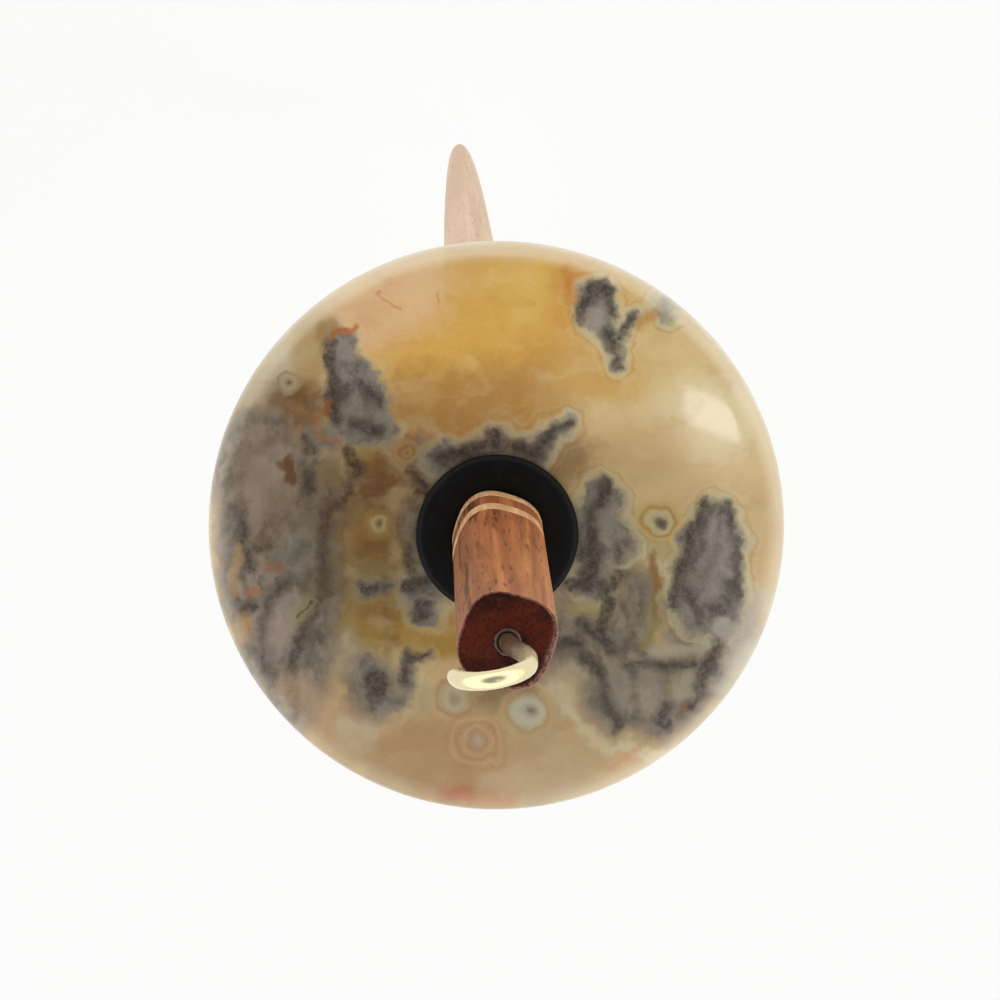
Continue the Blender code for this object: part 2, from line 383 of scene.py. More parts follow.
def spot(x, y, half_length, half_width, angle):
    """A long round-ended spot as the values of SPOT_INPUTS, from sizes in mm and an angle in degrees."""
    if half_length < half_width:
        half_length, half_width, angle = half_width, half_length, angle + 90.0
    reach = half_length - half_width
    return (x, y, 0.0), (0.0, 0.0, math.radians(angle)), (-reach, 0.0, -1.0), (reach, 0.0, 1.0), half_width


def spot_distance(g, vector, previous):
    """Distance in mm from a spot's outline, negative inside it, from a group's own SPOT_INPUTS."""
    vector = g.after(vector, previous)
    place = g.mapping(vector, g.inputs["Middle"], g.inputs["Turn"], (1.0, 1.0, ANY_DEPTH), "TEXTURE")
    nearest = g.vector("MINIMUM", g.vector("MAXIMUM", place, g.inputs["Low"]), g.inputs["High"])
    return g.math("SUBTRACT", g.vector("DISTANCE", place, nearest), g.inputs["Width"])


def joining_group():
    """Adds one more spot to a field of distances, with the two outlines flowing together."""
    inputs = (("Vector", "Vector"), ("Field", "Float"), *SPOT_INPUTS, ("Softness", "Float"))
    g = Group("join_spot", inputs, "Float")
    distance = spot_distance(g, g.inputs["Vector"], g.inputs["Field"])
    g.put(g.output, g.math("SMOOTH_MIN", g.inputs["Field"], distance, g.inputs["Softness"]))
    return g


def tinting_group():
    """Tints a surface inside one spot, with a soft edge that textures can fray."""
    inputs = (("Vector", "Vector"), ("Surface", "Color"), *SPOT_INPUTS, ("Softness", "Float"))
    inputs += (("Strength", "Float"), ("Tint", "Color"), ("Fray", "Float"))
    g = Group("tint_spot", inputs, "Color")
    distance = spot_distance(g, g.inputs["Vector"], g.inputs["Surface"])
    distance = g.math("ADD", distance, g.math("MULTIPLY", g.inputs["Fray"], g.inputs["Softness"]))
    start = g.inputs["Softness"]
    share = g.step(distance, start, g.math("MULTIPLY", start, -0.4), 0.0, g.inputs["Strength"])
    g.put(g.output, g.mix(share, g.inputs["Surface"], g.inputs["Tint"]))
    return g


# Agate. Shapes are (x, y, half length, half width, angle in degrees), in mm.

# Grey plumes with clear outlines
PLUMES = (
    # Tall plume at the upper left
    (-13.5, 15.6, 2.4, 1.3, 95), (-12.6, 12.9, 2.6, 2.2, 100), (-11.9, 10.6, 2.4, 2.9, 0),
    (-10.4, 9.4, 1.8, 1.3, 130),
    # Fringe behind the top of the grommet
    (-2.6, 6.8, 3.6, 1.2, 8), (-0.1, 8, 1.2, 0.9, 90), (-4.7, 7.2, 1, 0.8, 60),
    (2.6, 7, 1.6, 1, 150), (4, 8, 1.4, 0.7, 50), (5.4, 9.1, 1.2, 0.5, 20),
    # Upper right group with a forked tail
    (8.2, 20.2, 2, 1.5, 100), (8.9, 18.3, 1.3, 0.9, 130), (9.5, 16.8, 0.9, 0.3, 110),
    (9.95, 15.4, 1, 0.15, 108), (10.8, 18, 1.3, 0.15, 55), (14, 20, 1.1, 0.5, 125),
    # Right of the grommet
    (8.8, 3.4, 1.4, 1, 80), (8.8, 0.8, 3.2, 1.8, 82), (10.4, -0.8, 2, 1.2, 100),
    (8.2, -3, 3, 1.6, 90),
    # Large right-hand plume
    (18.9, 0.9, 1.9, 1.5, 75), (18.3, -1.9, 3.6, 2.5, 82), (18.2, -5.4, 3.8, 2.9, 90),
    # Islands below and left of the grommet
    (-10.9, -13.2, 2.4, 1.2, 105), (-9.5, -14.9, 1.6, 0.7, 0), (-7.9, -12.6, 1.8, 0.5, 80),
    (-6.9, -10.9, 1.1, 0.3, 15), (-6.8, -4.8, 1.8, 1.2, 0), (-6.2, -7, 1.2, 1.2, 90),
    (-10.6, -4.7, 1.7, 0.45, 5),
)

# Smoky grey without outlines
SMOKE = (
    (-19.2, -1, 9, 5.2, 88), (-18.6, -8.6, 7.6, 4.2, 78), (-21.4, 6.6, 4.4, 4, 60),
    (-16.6, 4.4, 3, 3, 0), (-15.4, 8.4, 1.8, 1.2, 0), (-18.4, -13.6, 3.4, 2.2, 90),
    (8.6, -5.6, 4, 3.2, 90), (11, -7.6, 4.4, 2, 80), (7.4, -9.6, 4.2, 2.6, 5),
    (10.6, -12.6, 5, 3.6, 110), (17.8, -7.6, 3.6, 3.2, 90), (19.2, -10.4, 4.2, 2.4, 60),
    (16.8, -13.8, 4, 1.5, 50), (14.2, -12.2, 3.4, 1.2, 0), (14, -16.2, 2, 1.2, 60),
    (-6.4, -1.6, 4.2, 0.9, 100), (-6, 6.2, 2.4, 0.9, 135), (-10.8, -13.6, 2.4, 2.4, 90),
)

# Dark threads through the grey
VEINS = (
    (-14.6, 14.2, 2.6, 0.35, 97), (-14.3, 11.4, 1.6, 0.4, 100), (-11.4, 9.4, 1.4, 0.35, 150),
    (-11.2, 12.4, 1.4, 0.25, 130), (-12.5, 6.4, 1.2, 0.3, 118), (-12.5, 4.4, 1.2, 0.3, 70),
    (-13.9, 2.6, 1.1, 0.3, 25), (-15.1, 0.6, 1.6, 0.4, 85), (-15, -3.2, 2.2, 0.4, 92),
    (-16.6, 4.6, 1, 0.7, 90), (-16.6, 7.8, 0.8, 0.35, 110), (-20.8, 7.6, 1.4, 0.2, 35),
    (-22.3, 5.4, 0.8, 0.3, 60), (-22.3, 0.6, 1.4, 0.2, 92), (-21.8, -2.2, 1.1, 0.3, 110),
    (-20.6, -0.9, 0.8, 0.2, 20), (-17.4, -1.8, 1.2, 0.3, 45), (-19, -4.7, 1.6, 0.35, 52),
    (-20.3, -7.4, 1.8, 0.25, 80), (-20.6, -10.6, 1.6, 0.2, 92), (-16.2, -7, 1.8, 0.3, 62),
    (-17.6, -10, 1.8, 0.35, 66), (-18.1, -13.4, 1.8, 0.35, 96), (-22, -6.4, 0.8, 0.3, 40),
    # Partly painted shade: the veins at (-7.6, -2.6) and (-7.2, -4.4), just left of the grommet, also stand
    # in for the flange's shade on the stone
    (-7.6, -2.6, 1.8, 0.3, 100), (-6.8, 4.4, 1.6, 0.3, 120),
    (-10.5, -13.2, 1.2, 0.7, 110), (-8, -12, 1.5, 0.25, 80), (-6.9, -10.8, 1, 0.25, 15),
    (-10.6, -4.7, 1.4, 0.3, 5), (-6.4, -6.6, 0.8, 0.6, 90), (-7.2, -4.4, 1.2, 0.5, 20),
    (9.1, 3, 1.6, 0.35, 80), (8.3, 0.4, 2.2, 0.3, 82), (8, -3, 2, 0.5, 85),
    (7.2, -4.6, 1.2, 0.4, 10), (9.8, -4.8, 1.6, 0.3, 60), (9.2, -7.4, 1.6, 0.35, 72),
    (8.6, -9, 2.2, 0.3, 140), (6.2, -9.8, 1.4, 0.4, 0), (8.2, -11.6, 1.4, 0.3, 130),
    (9.4, -14.6, 1.8, 0.3, 105), (10.2, -16.6, 0.9, 0.35, 95), (13.4, -11.9, 2.4, 0.3, 0),
    (15.6, -11.9, 1.4, 0.2, 5), (14.3, -16, 1.2, 0.4, 75), (12.6, -12.8, 1.2, 0.3, 160),
    (17.4, 1.6, 1.2, 0.3, 55), (16.4, -1.2, 2.4, 0.3, 74), (15.5, -4.8, 1.8, 0.25, 84),
    (20.2, 0.6, 2, 0.15, 100), (20.6, -3.6, 2, 0.15, 90), (18.4, -2.6, 1.6, 0.15, 60),
    (18.9, -9.8, 1.6, 0.3, 62), (17.4, -13.2, 2.6, 0.45, 62),
    (7.3, 19.6, 1.2, 0.5, 80), (8.3, 21.5, 0.9, 0.6, 20), (9.6, 20.2, 1.2, 0.3, 105),
    (9.6, 16.8, 1.1, 0.3, 108), (9.95, 15.4, 1.1, 0.2, 108), (10.8, 18, 1.4, 0.12, 55),
    (-0.1, 8.3, 0.9, 0.5, 90), (3.9, 7.9, 1.3, 0.4, 50), (5.4, 9.2, 1, 0.25, 20),
    (-3.4, 7.2, 2.2, 0.4, 10), (2, 7.4, 1.4, 0.4, 160),
)

# Soft tints of the ground: shape, softness in mm, strength and screen colour
TINTS = (
    (1, 17, 11, 6.5, 0, 5, 1, (208, 164, 86)), (2.4, 20.6, 3, 2.4, 60, 2.4, 0.7, (214, 176, 88)),
    (-3.5, 15.5, 5, 2.6, 20, 3.5, 0.7, (212, 166, 74)), (6, 20.5, 1.4, 3, 0, 1.6, 0.7, (202, 146, 66)),
    (3.6, 15.6, 2.4, 1.4, -40, 1.6, 0.6, (202, 150, 66)), (0, 10.8, 10, 3, 0, 3, 0.9, (172, 128, 68)),
    (8.4, 13.2, 3.6, 2.4, 30, 2.5, 0.8, (188, 148, 80)), (-9.5, 21, 4.6, 3, 25, 3, 0.75, (219, 180, 138)),
    (-17.5, 16.2, 3.2, 2.4, 50, 2, 0.8, (170, 146, 100)),
    (-20.6, 14, 1.6, 3.4, -35, 1.6, 0.8, (200, 186, 158)),
    (-17.6, 11.2, 2.4, 1.7, 0, 1.4, 0.95, (116, 82, 48)), (-22, 4.5, 2.6, 7, 0, 2, 0.8, (176, 156, 134)),
    (14, 10, 8.5, 8, 0, 4, 0.9, (208, 184, 136)), (13, 15, 5, 3, -30, 2.5, 0.6, (206, 180, 122)),
    (18, 10, 3.6, 3, 0, 2.5, 0.7, (222, 206, 166)), (10.5, 7, 5, 1.8, 10, 2.5, 0.7, (192, 162, 112)),
    (-9.6, 4, 2.8, 4.2, 0, 2, 0.95, (126, 88, 44)), (-12.2, 7.3, 1.6, 0.6, -20, 0.8, 0.8, (150, 126, 62)),
    (-12.4, -2, 1.6, 4, 0, 1.5, 0.9, (140, 112, 56)), (-9.6, -1.6, 2.2, 2.2, 0, 1.6, 0.85, (134, 96, 46)),
    (-11.4, -3.2, 1.6, 0.6, 8, 0.8, 0.6, (160, 146, 98)), (-10.6, -7.6, 4.2, 2.8, 10, 1.8, 1, (154, 126, 62)),
    (-9, -8.2, 0.8, 1.6, 20, 0.9, 0.5, (124, 94, 46)), (-5, -8.8, 3.2, 1.8, 0, 1.2, 1, (166, 132, 58)),
    (13.2, -3.5, 1.6, 5, 0, 1.4, 0.9, (176, 164, 118)), (5.6, -16.6, 7, 4.6, 20, 3, 0.9, (186, 164, 126)),
    (-14.4, -10.8, 2.2, 2.2, 0, 1.5, 0.9, (156, 144, 118)),
    (-15.4, -14.8, 3, 1.8, -35, 1.8, 0.9, (172, 136, 98)), (-9, -18.6, 6.4, 3, -25, 3, 0.9, (186, 158, 120)),
    (-8.6, -18.4, 1.8, 1, 30, 1.2, 0.7, (182, 142, 92)), (-3.5, -20, 4.4, 2.4, 0, 2.2, 0.8, (184, 148, 106)),
    (2.5, -21.5, 4, 1.8, 0, 1.6, 0.7, (202, 178, 144)), (-12.6, -17.4, 1.6, 1.4, 0, 1, 0.6, (204, 186, 160)),
    (9, -19.2, 3.6, 1, -20, 1.2, 0.6, (196, 168, 128)), (0.6, -13.6, 3.4, 1.5, 0, 1.6, 0.75, (138, 112, 76)),
    (-16.8, -14, 2.6, 1.6, -50, 1.6, 0.7, (196, 166, 130)),
    (8.2, 14.2, 3.4, 1.8, -10, 2.2, 0.7, (196, 148, 62)),
    (4.6, 10.6, 2.6, 1.2, -10, 1.8, 0.5, (178, 132, 58)), (6.2, 6.2, 1.8, 1, 40, 1.8, 0.6, (112, 88, 56)),
    (-10.6, -1, 6, 3, 90, 2.6, 0.45, (92, 66, 30)),
)

# Small patches drawn over the grey, in the same way
STAINS = (
    (-20.2, 5.4, 3, 2.2, 70, 2.2, 0.55, (164, 144, 126)), (-19, -8, 2.6, 1, 70, 1.4, 0.4, (166, 148, 140)),
    (-17.6, -1.8, 2, 1, 60, 1.2, 0.4, (140, 138, 132)), (18.6, -2.6, 3, 0.9, 80, 1.2, 0.5, (150, 143, 135)),
    (9.6, 0.6, 1.6, 0.5, 100, 0.9, 0.5, (156, 148, 138)), (-12, 11.4, 1.6, 0.6, 120, 1, 0.4, (142, 134, 120)),
    (10.6, -13.8, 1.8, 0.8, 100, 1, 0.4, (158, 150, 140)),
    (5.8, -13.2, 1.8, 0.9, 40, 1.2, 0.5, (190, 176, 146)),
    (-6.4, -14.6, 0.9, 0.5, 70, 0.9, 0.5, (168, 158, 132)),
    (-18.1, 5.6, 1.1, 0.45, 95, 0.35, 0.9, (104, 70, 40)),
    (-18.4, 6.3, 0.8, 0.3, 15, 0.3, 0.7, (110, 76, 44)), (-14.4, 5.2, 1, 0.8, 70, 0.8, 0.7, (150, 130, 82)),
    (-23, -3.2, 2.2, 0.2, 82, 0.6, 0.55, (184, 146, 96)),
    (-19.5, -2.9, 0.6, 0.35, 0, 0.6, 0.7, (134, 92, 54)),
    (-21.4, -4.9, 0.7, 0.2, 30, 0.3, 0.7, (160, 106, 74)),
    (-22.4, -8.3, 1.2, 0.5, 80, 0.7, 0.7, (180, 146, 92)),
    (-13.3, 17.9, 1.1, 0.22, 16, 0.35, 0.8, (172, 98, 44)),
    (-14.3, 17.4, 0.7, 0.12, 60, 0.3, 0.7, (170, 90, 40)),
    (-14.9, 17.8, 1.2, 0.7, 40, 0.6, 0.6, (140, 108, 62)),
    (-14.7, 11, 0.7, 0.2, 80, 0.35, 0.8, (154, 86, 44)),
    (-15.6, 9.2, 0.9, 0.15, 100, 0.4, 0.6, (166, 112, 66)),
    (-14.4, 8.2, 0.8, 0.15, 160, 0.4, 0.6, (164, 110, 70)),
    (12.7, 19, 0.9, 0.3, 45, 0.6, 0.7, (176, 128, 66)), (5.9, 21.8, 1.6, 0.25, 100, 0.6, 0.6, (190, 122, 50)),
    (-17, -6.6, 1.4, 0.5, 50, 0.7, 0.6, (150, 142, 104)),
    (-16.9, -6.6, 0.8, 0.06, 50, 0.16, 0.9, (84, 70, 34)),
    (-16.5, -5.9, 0.25, 0.12, 20, 0.16, 0.9, (84, 70, 34)),
    (13.5, -3.4, 1.6, 0.3, 100, 0.5, 0.85, (142, 104, 54)),
    (13.6, -6.4, 1.6, 0.2, 88, 0.5, 0.85, (134, 108, 56)),
    (13.1, -9, 1.2, 0.25, 70, 0.6, 0.85, (142, 130, 82)),
    (7.4, -6.6, 1.3, 0.4, -10, 0.6, 0.8, (160, 148, 100)),
    (15.4, -10.3, 2.2, 0.35, 4, 0.7, 0.7, (176, 168, 146)),
    (16.2, -13.4, 0.7, 1, 0, 0.8, 0.6, (170, 160, 130)),
    (13, -13.8, 1.6, 0.8, 100, 0.9, 0.6, (164, 154, 142)),
    (16, -15.4, 0.5, 0.12, 110, 0.25, 0.8, (134, 100, 54)),
    (19.3, -8.4, 0.8, 0.6, 90, 0.6, 0.7, (178, 168, 156)),
    (21.4, -8.4, 3.6, 0.5, 65, 1.2, 0.8, (186, 174, 156)),
    (20.4, -11.8, 2.4, 0.5, 55, 1, 0.7, (190, 178, 160)),
    (8.3, 18.9, 0.9, 0.7, 60, 0.6, 0.7, (158, 146, 132)),
    (-3.7, -23, 1.2, 0.5, 10, 0.9, 0.85, (184, 116, 74)),
    (-1.2, -23.6, 2.2, 0.4, 0, 0.9, 0.6, (202, 136, 96)),
    (10.8, -19.9, 1.4, 0.2, 38, 0.5, 0.6, (206, 150, 110)), (-14.6, 3, 2.6, 1.2, 75, 2, 0.4, (96, 72, 44)),
    (-14.8, -2.6, 3, 1.2, 85, 2, 0.4, (98, 82, 50)), (-19.4, 1.2, 2.4, 1.2, 60, 1.8, 0.35, (118, 94, 64)),
    (-17.4, -14.2, 1.8, 1.1, -50, 1.4, 0.5, (190, 160, 126)),
    (1, -13.2, 2.2, 0.8, 0, 1.2, 0.5, (118, 98, 68)),
)

# Round eyes: x, y, radius, strength, and colours from the middle outwards
EYES = (
    (-1.9, -18.3, 3.1, 0.75, ((186, 180, 172), (184, 160, 134), (178, 138, 98), (194, 164, 126),
     (178, 136, 92), (196, 164, 122),
     (182, 142, 98))),
    (-3.85, -14.5, 1.9, 0.8, ((140, 130, 104), (158, 148, 122), (186, 176, 148), (178, 162, 130),
     (170, 140, 98))),
    (2.6, -15.7, 2.7, 0.9, ((110, 100, 80), (170, 166, 150), (192, 188, 170), (190, 184, 160),
     (176, 152, 108), (192, 164, 118))),
    (-10.3, 0.7, 1.7, 0.9, ((92, 72, 40), (140, 122, 78), (176, 160, 116), (150, 124, 70), (146, 112, 58))),
    (-18.3, 13.2, 1.2, 0.85, ((84, 70, 50), (160, 146, 116), (178, 164, 134), (160, 142, 106))),
    (-7.8, 7.2, 1.2, 0.8, ((130, 90, 44), (168, 134, 80), (144, 104, 52), (168, 132, 78))),
    (14, 1, 2.2, 0.95, ((86, 74, 64), (112, 102, 86), (176, 168, 132), (196, 182, 136), (168, 138, 76),
     (198, 172, 116))),
)

# Fine reddish cracks
CRACKS = (
    (-9.6, 20.4, 1.2, 0.05, 142), (-5.4, 20.8, 0.5, 0.03, 100), (-10.6, 21.3, 0.25, 0.12, 0),
)


def agate():
    """Polished lace agate: honey and cream ground, smoky grey, and plumes with pale lace edges."""
    g = Graph("agate_lace")
    join = joining_group()
    tint = tinting_group()
    turn = (0.0, 0.0, VIEW_ROLL)
    place = g.mapping(g.object_space(), (0.0, 0.0, -WHORL_Z / MM), turn, (1 / MM, 1 / MM, 1 / MM))
    # The pattern drifts slowly with depth, so the rim and the back aren't copies of the front
    depth = g.math("SUBTRACT", g.split(place)[2], STONE_HALF / MM)
    drift = g.add("CombineXYZ", X=g.math("MULTIPLY", depth, 0.35), Y=g.math("MULTIPLY", depth, -0.28))
    drifted = g.vector("ADD", place, drift.outputs[0])
    coarse = g.noise(place, 0.42, 1.0, output="Color")
    fine = g.noise(place, 1.2, 2.0, output="Color")
    smooth = g.vector("MULTIPLY_ADD", coarse, (1.0, 1.0, 0.0), drifted)
    bent = g.vector("MULTIPLY_ADD", fine, (0.8, 0.8, 0.0), smooth)
    smooth = g.vector("ADD", smooth, (-0.5, -0.5, 0.0))
    bent = g.vector("ADD", bent, (-0.9, -0.9, 0.0))
    marbling = g.noise(g.mapping(bent, turn=(0, 0, -0.25), scale=(0.85, 0.55, 0.7)), 1.0, 4.0, 0.52)
    fray = g.math("SUBTRACT", 0.5, marbling)
    blotch = g.noise(place, 0.5, 2.0, 0.5)

    def field(shapes, softness, surface):
        distance = FAR
        vector = g.after(bent, surface)
        for shape in shapes:
            distance = g.use(join, vector, distance, *spot(*shape), softness)
        return distance

    # Ground
    cloud = g.noise(place, 0.16, 3.0, 0.55)
    surface = g.mix(g.step(cloud, 0.35, 0.65), (200, 174, 128), (190, 164, 118))
    more_fray = g.math("MULTIPLY", fray, 1.2)
    for *shape, softness, strength, colour in TINTS:
        surface = g.use(tint, bent, surface, *spot(*shape), softness, strength, colour, more_fray)
    wisps = g.noise(g.mapping(bent, turn=(0, 0, 0.5), scale=(0.26, 0.42, 0.2)), 1.0, 3.0, 0.5, 0.4)
    surface = g.over(surface, wisps, 0.48, 0.72, 0.25, (220, 198, 150))
    surface = g.over(surface, wisps, 0.48, 0.28, 0.25, (176, 132, 72))

    # Smoky grey
    grey = g.mix(g.step(marbling, 0.32, 0.68), (92, 83, 74), (146, 134, 120))
    grey = g.over(grey, blotch, 0.48, 0.70, 0.5, (122, 118, 112))
    smoke = g.math("MULTIPLY_ADD", fray, 2.4, field(SMOKE, 1.2, surface))
    east = g.step(g.split(place)[0], -13.0, 6.0, 0.12, 1.0)
    band = g.math("MULTIPLY", g.step(smoke, 2.4, 1.5), g.step(smoke, 0.6, 1.5, 0.0, 0.7))
    surface = g.mix(g.math("MULTIPLY", band, east), surface, (206, 196, 162))
    surface = g.mix(g.step(smoke, 1.3, -0.7, 0.0, 0.95), surface, grey)

    # Plumes: a field of distances from their edges, broken up into rounded lobes
    lobes = g.cells(bent, 0.62, "SMOOTH_F1", smoothness=0.4)
    small_lobes = g.cells(bent, 1.5, "SMOOTH_F1", smoothness=0.4)
    grain = g.noise(place, 2.2, 2.0, 0.5)
    contour = g.math("MULTIPLY_ADD", lobes, 0.7, field(PLUMES, 0.6, surface))
    edge = g.math("MULTIPLY_ADD", small_lobes, 0.5, contour)
    edge = g.math("MULTIPLY_ADD", grain, 0.35, edge)
    edge = g.math("ADD", edge, -0.92)

    # Bands that follow the plumes' outlines, strongest at the right and at the bottom
    reach = g.math("MULTIPLY", g.step(contour, 2.6, 1.0), east)
    lines = g.math("SINE", g.math("MULTIPLY_ADD", contour, 8.0, g.math("MULTIPLY", cloud, 5.0)))
    tone = g.math("MULTIPLY", reach, g.step(lines, 0.3, 1.0, 0.0, 0.40))
    surface = g.mix(tone, surface, (166, 130, 76))
    tone = g.math("MULTIPLY", reach, g.step(lines, -0.2, -1.0, 0.0, 0.22))
    surface = g.mix(tone, surface, (210, 194, 152))
    lace = g.math("MULTIPLY", east, g.step(edge, 1.0, 0.25, 0.0, 0.75))
    surface = g.mix(lace, surface, (186, 178, 146))

    # Inside the plumes
    inside = g.mix(g.step(marbling, 0.32, 0.68), (84, 76, 70), (138, 129, 120))
    inside = g.over(inside, blotch, 0.48, 0.70, 0.5, (140, 133, 126))
    inside = g.over(inside, edge, -0.9, 0.1, 0.7, (148, 139, 120))
    surface = g.mix(g.step(edge, 0.45, -0.4), surface, inside)
    veins = g.math("MULTIPLY_ADD", fray, 1.6, field(VEINS, 0.25, surface))
    broken = g.step(grain, 0.35, 0.65, 0.6, 0.9)
    surface = g.mix(g.math("MULTIPLY", broken, g.step(veins, 0.65, -0.25)), surface, (60, 48, 41))
    for x, y, radius, strength, colours in EYES:
        vector = g.after(smooth, surface)
        local = g.mapping(vector, (x, y, 0.0), scale=(radius, radius, ANY_DEPTH), kind="TEXTURE")
        share = g.math("MULTIPLY_ADD", fray, 0.5, g.vector("LENGTH", local))
        rings = g.ramp(share, [(i / len(colours) * 0.95, srgb(*c)) for i, c in enumerate(colours)])
        surface = g.mix(g.step(share, 1.0, 0.75, 0.0, strength), surface, rings)
    for *shape, softness, strength, colour in STAINS:
        surface = g.use(tint, bent, surface, *spot(*shape), softness, strength, colour, fray)
    cracks = field(CRACKS, 0.05, surface)
    surface = g.over(surface, cracks, 0.16, 0.0, 0.4, (186, 108, 60))
    speck = g.noise(place, 4.5, 3.0, 0.6)
    dotted = g.step(edge, 0.6, -0.2, 0.06, 0.13)
    surface = g.mix(g.math("MULTIPLY", dotted, g.step(speck, 0.50, 0.75)), surface, (80, 64, 50))
    surface = g.mix(g.math("MULTIPLY", dotted, g.step(speck, 0.50, 0.25)), surface, (214, 202, 180))

    # Painted light: the thin rim is painted paler, standing in for the light it catches and lets through,
    # least at the smoky side
    across, up, _ = g.split(place)
    flat = g.vector("MULTIPLY", place, (1.0, 1.0, 0.0))
    painted_rim_light = g.step(g.math("MULTIPLY_ADD", up, 0.5, across), -20.0, 4.0, 0.2, 0.55)
    rim = g.math("MULTIPLY", g.step(g.vector("LENGTH", flat), 23.4, 24.9), painted_rim_light)
    surface = g.mix(rim, surface, (216, 204, 174))
    # Painted shade: the lower and smoky parts are darkened, as if less lit than the top and the right
    painted_shade = g.step(g.math("MULTIPLY_ADD", across, 0.25, up), 13.0, 7.0, 0.0, 0.85)
    painted_shade = g.math("MULTIPLY", painted_shade, g.step(across, 21.5, 16.5))
    painted_shade = g.math("MULTIPLY", painted_shade, g.step(g.math("SUBTRACT", across, up), 35.0, 27.0))
    painted_shade = g.math("MULTIPLY", painted_shade, g.step(g.math("MULTIPLY_ADD", up, 0.3, across), -25.0, -17.0, 0.2, 1.0))
    surface = g.mix(painted_shade, surface, (0.72, 0.69, 0.62, 1.0), "MULTIPLY")
    # From screen colours to the stone's own, under this scene's light
    surface = g.vector("MULTIPLY_ADD", surface, (0.95,) * 3, (-0.016,) * 3)
    surface = g.vector("MAXIMUM", surface, (0.004,) * 3)

    g.set(
        Base_Color=surface,
        Roughness=g.step(g.noise(place, 0.8, 4.0, 0.6), 0.3, 0.8, 0.34, 0.48),
        IOR=1.54,
        Subsurface_Weight=0.15,
        Subsurface_Scale=0.0006,
        Coat_Weight=0.4,
        Coat_Roughness=0.06,
        Subsurface_Radius=(1.0, 0.75, 0.5),
    )
    g.bump(g.noise(place, 3.0, 4.0, 0.6), 0.00002, 0.3)
    return g.material


def shaft_wood():
    g = Graph("pale_shaft_wood")
    place = g.object_space()
    long_grain = g.noise(g.mapping(place, scale=(900, 900, 26)), 1.0, 5.0, 0.62, 0.4)
    rings = g.noise(g.mapping(place, scale=(420, 420, 7)), 1.0, 2.0, 0.5, 1.2)
    flecks = g.noise(g.mapping(place, scale=(3600, 3600, 240)), 1.0, 2.0, 0.5)
    colour = g.mix(g.step(long_grain, 0.3, 0.7), (196, 164, 132), (212, 184, 154))
    colour = g.over(colour, rings, 0.42, 0.62, 0.45, (186, 148, 116))
    colour = g.over(colour, flecks, 0.60, 0.72, 0.55, (150, 112, 84))
    g.set(
        Base_Color=colour,
        Roughness=g.step(long_grain, 0.3, 0.7, 0.42, 0.58),
        Specular_IOR_Level=0.3,
    )
    g.bump(g.math("ADD", long_grain, flecks), 0.00005, 0.5)
    return g.material


def inlay_wood():
    g = Graph("pale_inlay_wood")
    place = g.object_space()
    grain = g.noise(g.mapping(place, scale=(1500, 1500, 300)), 1.0, 4.0, 0.6, 0.3)
    band = g.noise(g.mapping(place, scale=(260, 260, 900)), 1.0, 2.0, 0.5)
    colour = g.mix(g.step(grain, 0.3, 0.7), (196, 148, 104), (222, 182, 136))
    colour = g.over(colour, band, 0.5, 0.75, 0.4, (180, 128, 84))
    g.set(Base_Color=colour, Roughness=g.step(grain, 0.3, 0.7, 0.36, 0.5), Specular_IOR_Level=0.35)
    g.bump(grain, 0.00004, 0.5)
    return g.material


